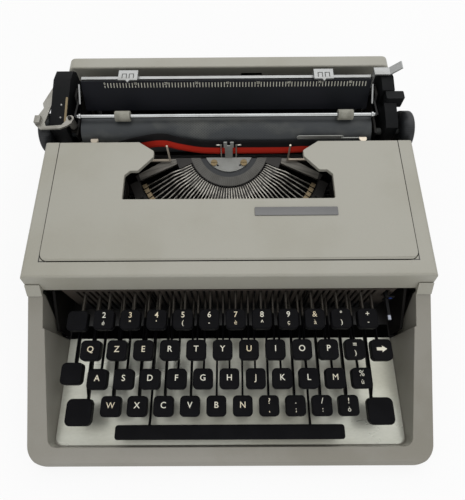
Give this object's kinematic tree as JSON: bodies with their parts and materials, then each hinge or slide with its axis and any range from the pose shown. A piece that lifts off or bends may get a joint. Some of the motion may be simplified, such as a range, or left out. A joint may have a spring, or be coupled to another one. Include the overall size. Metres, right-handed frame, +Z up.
{
  "type": "portable typewriter",
  "caption": "Portable manual typewriter with sliding carriage, platen, lift-off ribbon cover, tilted type segment and sprung black keys.",
  "frame": {"origin": "middle of the footprint on the surface that the feet stand on", "axes": "+X to the typist's right, +Y to the rear, +Z up"},
  "size_m": [0.3101, 0.325, 0.1066],
  "materials": {
    "case_plastic": "warm light grey moulded plastic, satin",
    "key_plastic": "black satin",
    "black_plastic": "black, fine texture",
    "dark_steel": "blackened steel",
    "frame_steel": "zinc-plated, aged",
    "bright_steel": "bright plated",
    "satin_aluminium": "satin",
    "segment_metal": "ground casting",
    "platen_rubber": "worn black rubber",
    "foot_rubber": "black",
    "roller_rubber": "grey rubber",
    "ribbon_cloth": "inked, black over red"
  },
  "bodies": {
    "chassis": {"lower_case": "case_plastic", "upper_housing": "case_plastic", "rear_panel": "case_plastic", "rubber_feet": "foot_rubber", "fasteners": "bright_steel", "main_frame": "frame_steel", "key_comb": "dark_steel", "ribbon": "ribbon_cloth"},
    "type_basket": {"type_segment": "segment_metal", "typebars": "bright_steel", "type_guide": "satin_aluminium"},
    "ribbon_cover": {"ribbon_cover": "case_plastic"},
    "spool_left": {"spool_left": "dark_steel"},
    "spool_right": {"spool_right": "dark_steel"},
    "ribbon_vibrator": {"ribbon_vibrator": "bright_steel"},
    "colour_selector": {"colour_selector": "frame_steel"},
    "carriage": {"carriage_frame": "dark_steel", "carriage_end_left": "black_plastic", "carriage_end_right": "black_plastic", "paper_table": "black_plastic", "margin_rail": "satin_aluminium"},
    "platen": {"platen": "platen_rubber", "platen_knobs": "black_plastic"},
    "return_lever": {"return_lever": "satin_aluminium"},
    "paper_bail": {"paper_bail": "bright_steel", "bail_rollers": "roller_rubber"},
    "margin_stop_left": {"margin_stop_left": "satin_aluminium"},
    "margin_stop_right": {"margin_stop_right": "satin_aluminium"},
    "paper_release_lever": {"paper_release_lever": "satin_aluminium"},
    "carriage_release_lever": {"carriage_release_lever": "black_plastic"},
    "mainspring_drum": {"mainspring_drum": "frame_steel"},
    "space_bar": {"space_bar": "key_plastic"},
    "shift_keys": {"shift_keys": "key_plastic"},
    "shift_lock": {"shift_lock": "key_plastic"},
    "margin_release_key": {"margin_release_key": "key_plastic"},
    "backspace_key": {"backspace_key": "key_plastic"},
    "number_row_keys": {"number_row_keys": "key_plastic"},
    "bottom_row_keys": {"bottom_row_keys": "key_plastic"},
    "key_q": {"key_q": "key_plastic"},
    "key_z": {"key_z": "key_plastic"},
    "key_e": {"key_e": "key_plastic"},
    "key_r": {"key_r": "key_plastic"},
    "key_t": {"key_t": "key_plastic"},
    "key_y": {"key_y": "key_plastic"},
    "key_u": {"key_u": "key_plastic"},
    "key_i": {"key_i": "key_plastic"},
    "key_o": {"key_o": "key_plastic"},
    "key_p": {"key_p": "key_plastic"},
    "key_upper_symbol": {"key_upper_symbol": "key_plastic"},
    "key_a": {"key_a": "key_plastic"},
    "key_s": {"key_s": "key_plastic"},
    "key_d": {"key_d": "key_plastic"},
    "key_f": {"key_f": "key_plastic"},
    "key_g": {"key_g": "key_plastic"},
    "key_h": {"key_h": "key_plastic"},
    "key_j": {"key_j": "key_plastic"},
    "key_k": {"key_k": "key_plastic"},
    "key_l": {"key_l": "key_plastic"},
    "key_m": {"key_m": "key_plastic"},
    "key_home_symbol": {"key_home_symbol": "key_plastic"}
  },
  "joints": [
    {"name": "carriage_slide", "type": "slide", "parent": "chassis", "child": "carriage", "axis": [1, 0, 0], "range_m": [-0.105, 0.105]},
    {"name": "platen_turn", "type": "hinge", "parent": "carriage", "child": "platen", "pos_m": [0, 0.096, 0.066], "axis": [1, 0, 0], "continuous": true},
    {"name": "return_lever_swing", "type": "hinge", "parent": "carriage", "child": "return_lever", "pos_m": [-0.1296, 0.096, 0.0836], "axis": [0, 0, 1], "range_deg": [0, 40], "stiffness_Nm_per_rad": 0.03, "springref_deg": -17.19},
    {"name": "paper_bail_lift", "type": "hinge", "parent": "carriage", "child": "paper_bail", "pos_m": [0, 0.121, 0.084], "axis": [-1, 0, 0], "range_deg": [0, 60]},
    {"name": "margin_stop_left_slide", "type": "slide", "parent": "carriage", "child": "margin_stop_left", "axis": [1, 0, 0], "range_m": [-0.025, 0.07]},
    {"name": "margin_stop_right_slide", "type": "slide", "parent": "carriage", "child": "margin_stop_right", "axis": [1, 0, 0], "range_m": [-0.07, 0.025]},
    {"name": "paper_release", "type": "hinge", "parent": "carriage", "child": "paper_release_lever", "pos_m": [0, 0.126, 0.062], "axis": [-1, 0, 0], "range_deg": [0, 10]},
    {"name": "carriage_release", "type": "slide", "parent": "carriage", "child": "carriage_release_lever", "axis": [0, 0, -1], "range_m": [0, 0.003], "stiffness_N_per_m": 60, "springref_m": -0.002},
    {"name": "mainspring_turn", "type": "hinge", "parent": "chassis", "child": "mainspring_drum", "pos_m": [-0.096, 0.106, 0.024], "axis": [0, 0, 1], "range_deg": [-345, 345]},
    {"name": "ribbon_cover_lift", "type": "slide", "parent": "chassis", "child": "ribbon_cover", "axis": [0, 0, 1], "range_m": [0, 0.06]},
    {"name": "spool_left_turn", "type": "hinge", "parent": "chassis", "child": "spool_left", "pos_m": [-0.106, 0.0453, 0.055], "axis": [0, 0, 1], "continuous": true},
    {"name": "spool_right_turn", "type": "hinge", "parent": "chassis", "child": "spool_right", "pos_m": [0.106, 0.0453, 0.055], "axis": [0, 0, 1], "continuous": true},
    {"name": "ribbon_vibrator_lift", "type": "slide", "parent": "chassis", "child": "ribbon_vibrator", "axis": [0, 0, 1], "range_m": [0, 0.007]},
    {"name": "colour_select", "type": "slide", "parent": "chassis", "child": "colour_selector", "axis": [0, 0, 1], "range_m": [-0.003, 0.003]},
    {"name": "shift_press", "type": "hinge", "parent": "chassis", "child": "shift_keys", "pos_m": [0, 0.06, 0.014], "axis": [1, 0, 0], "range_deg": [0, 3.5], "stiffness_Nm_per_rad": 4, "springref_deg": -8.59},
    {"name": "basket_shift", "type": "slide", "parent": "chassis", "child": "type_basket", "axis": [0, 0, -1], "range_m": [0, 0.0061]},
    {"name": "shift_lock_press", "type": "hinge", "parent": "chassis", "child": "shift_lock", "pos_m": [0, 0.06, 0.014], "axis": [1, 0, 0], "range_deg": [0, 3], "stiffness_Nm_per_rad": 2, "springref_deg": -6.88},
    {"name": "space_bar_press", "type": "hinge", "parent": "chassis", "child": "space_bar", "pos_m": [0, 0.06, 0.014], "axis": [1, 0, 0], "range_deg": [0, 1.8], "stiffness_Nm_per_rad": 2, "springref_deg": -6.88},
    {"name": "margin_release_press", "type": "hinge", "parent": "chassis", "child": "margin_release_key", "pos_m": [0, 0.06, 0.014], "axis": [1, 0, 0], "range_deg": [0, 3.5], "stiffness_Nm_per_rad": 2, "springref_deg": -6.88},
    {"name": "backspace_press", "type": "hinge", "parent": "chassis", "child": "backspace_key", "pos_m": [0, 0.06, 0.014], "axis": [1, 0, 0], "range_deg": [0, 3.5], "stiffness_Nm_per_rad": 2, "springref_deg": -6.88},
    {"name": "number_row_press", "type": "hinge", "parent": "chassis", "child": "number_row_keys", "pos_m": [0, 0.06, 0.014], "axis": [1, 0, 0], "range_deg": [0, 3.5], "stiffness_Nm_per_rad": 2, "springref_deg": -6.88},
    {"name": "bottom_row_press", "type": "hinge", "parent": "chassis", "child": "bottom_row_keys", "pos_m": [0, 0.06, 0.014], "axis": [1, 0, 0], "range_deg": [0, 2.5], "stiffness_Nm_per_rad": 2, "springref_deg": -6.88},
    {"name": "key_q_press", "type": "hinge", "parent": "chassis", "child": "key_q", "pos_m": [0, 0.06, 0.014], "axis": [1, 0, 0], "range_deg": [0, 2.9], "stiffness_Nm_per_rad": 2, "springref_deg": -6.88},
    {"name": "key_z_press", "type": "hinge", "parent": "chassis", "child": "key_z", "pos_m": [0, 0.06, 0.014], "axis": [1, 0, 0], "range_deg": [0, 2.9], "stiffness_Nm_per_rad": 2, "springref_deg": -6.88},
    {"name": "key_e_press", "type": "hinge", "parent": "chassis", "child": "key_e", "pos_m": [0, 0.06, 0.014], "axis": [1, 0, 0], "range_deg": [0, 2.9], "stiffness_Nm_per_rad": 2, "springref_deg": -6.88},
    {"name": "key_r_press", "type": "hinge", "parent": "chassis", "child": "key_r", "pos_m": [0, 0.06, 0.014], "axis": [1, 0, 0], "range_deg": [0, 2.9], "stiffness_Nm_per_rad": 2, "springref_deg": -6.88},
    {"name": "key_t_press", "type": "hinge", "parent": "chassis", "child": "key_t", "pos_m": [0, 0.06, 0.014], "axis": [1, 0, 0], "range_deg": [0, 2.9], "stiffness_Nm_per_rad": 2, "springref_deg": -6.88},
    {"name": "key_y_press", "type": "hinge", "parent": "chassis", "child": "key_y", "pos_m": [0, 0.06, 0.014], "axis": [1, 0, 0], "range_deg": [0, 2.9], "stiffness_Nm_per_rad": 2, "springref_deg": -6.88},
    {"name": "key_u_press", "type": "hinge", "parent": "chassis", "child": "key_u", "pos_m": [0, 0.06, 0.014], "axis": [1, 0, 0], "range_deg": [0, 2.9], "stiffness_Nm_per_rad": 2, "springref_deg": -6.88},
    {"name": "key_i_press", "type": "hinge", "parent": "chassis", "child": "key_i", "pos_m": [0, 0.06, 0.014], "axis": [1, 0, 0], "range_deg": [0, 2.9], "stiffness_Nm_per_rad": 2, "springref_deg": -6.88},
    {"name": "key_o_press", "type": "hinge", "parent": "chassis", "child": "key_o", "pos_m": [0, 0.06, 0.014], "axis": [1, 0, 0], "range_deg": [0, 2.9], "stiffness_Nm_per_rad": 2, "springref_deg": -6.88},
    {"name": "key_p_press", "type": "hinge", "parent": "chassis", "child": "key_p", "pos_m": [0, 0.06, 0.014], "axis": [1, 0, 0], "range_deg": [0, 2.9], "stiffness_Nm_per_rad": 2, "springref_deg": -6.88},
    {"name": "key_upper_symbol_press", "type": "hinge", "parent": "chassis", "child": "key_upper_symbol", "pos_m": [0, 0.06, 0.014], "axis": [1, 0, 0], "range_deg": [0, 2.9], "stiffness_Nm_per_rad": 2, "springref_deg": -6.88},
    {"name": "key_a_press", "type": "hinge", "parent": "chassis", "child": "key_a", "pos_m": [0, 0.06, 0.014], "axis": [1, 0, 0], "range_deg": [0, 3.5], "stiffness_Nm_per_rad": 2, "springref_deg": -6.88},
    {"name": "key_s_press", "type": "hinge", "parent": "chassis", "child": "key_s", "pos_m": [0, 0.06, 0.014], "axis": [1, 0, 0], "range_deg": [0, 3.5], "stiffness_Nm_per_rad": 2, "springref_deg": -6.88},
    {"name": "key_d_press", "type": "hinge", "parent": "chassis", "child": "key_d", "pos_m": [0, 0.06, 0.014], "axis": [1, 0, 0], "range_deg": [0, 3.5], "stiffness_Nm_per_rad": 2, "springref_deg": -6.88},
    {"name": "key_f_press", "type": "hinge", "parent": "chassis", "child": "key_f", "pos_m": [0, 0.06, 0.014], "axis": [1, 0, 0], "range_deg": [0, 3.5], "stiffness_Nm_per_rad": 2, "springref_deg": -6.88},
    {"name": "key_g_press", "type": "hinge", "parent": "chassis", "child": "key_g", "pos_m": [0, 0.06, 0.014], "axis": [1, 0, 0], "range_deg": [0, 3.5], "stiffness_Nm_per_rad": 2, "springref_deg": -6.88},
    {"name": "key_h_press", "type": "hinge", "parent": "chassis", "child": "key_h", "pos_m": [0, 0.06, 0.014], "axis": [1, 0, 0], "range_deg": [0, 3.5], "stiffness_Nm_per_rad": 2, "springref_deg": -6.88},
    {"name": "key_j_press", "type": "hinge", "parent": "chassis", "child": "key_j", "pos_m": [0, 0.06, 0.014], "axis": [1, 0, 0], "range_deg": [0, 3.5], "stiffness_Nm_per_rad": 2, "springref_deg": -6.88},
    {"name": "key_k_press", "type": "hinge", "parent": "chassis", "child": "key_k", "pos_m": [0, 0.06, 0.014], "axis": [1, 0, 0], "range_deg": [0, 3.5], "stiffness_Nm_per_rad": 2, "springref_deg": -6.88},
    {"name": "key_l_press", "type": "hinge", "parent": "chassis", "child": "key_l", "pos_m": [0, 0.06, 0.014], "axis": [1, 0, 0], "range_deg": [0, 3.5], "stiffness_Nm_per_rad": 2, "springref_deg": -6.88},
    {"name": "key_m_press", "type": "hinge", "parent": "chassis", "child": "key_m", "pos_m": [0, 0.06, 0.014], "axis": [1, 0, 0], "range_deg": [0, 3.5], "stiffness_Nm_per_rad": 2, "springref_deg": -6.88},
    {"name": "key_home_symbol_press", "type": "hinge", "parent": "chassis", "child": "key_home_symbol", "pos_m": [0, 0.06, 0.014], "axis": [1, 0, 0], "range_deg": [0, 3.5], "stiffness_Nm_per_rad": 2, "springref_deg": -6.88}
  ],
  "couplings": [
    {"joint": "basket_shift", "follows": "shift_press", "m_per_rad": 0.09822},
    {"joint": "mainspring_turn", "follows": "carriage_slide", "rad_per_m": 55.556}
  ]
}
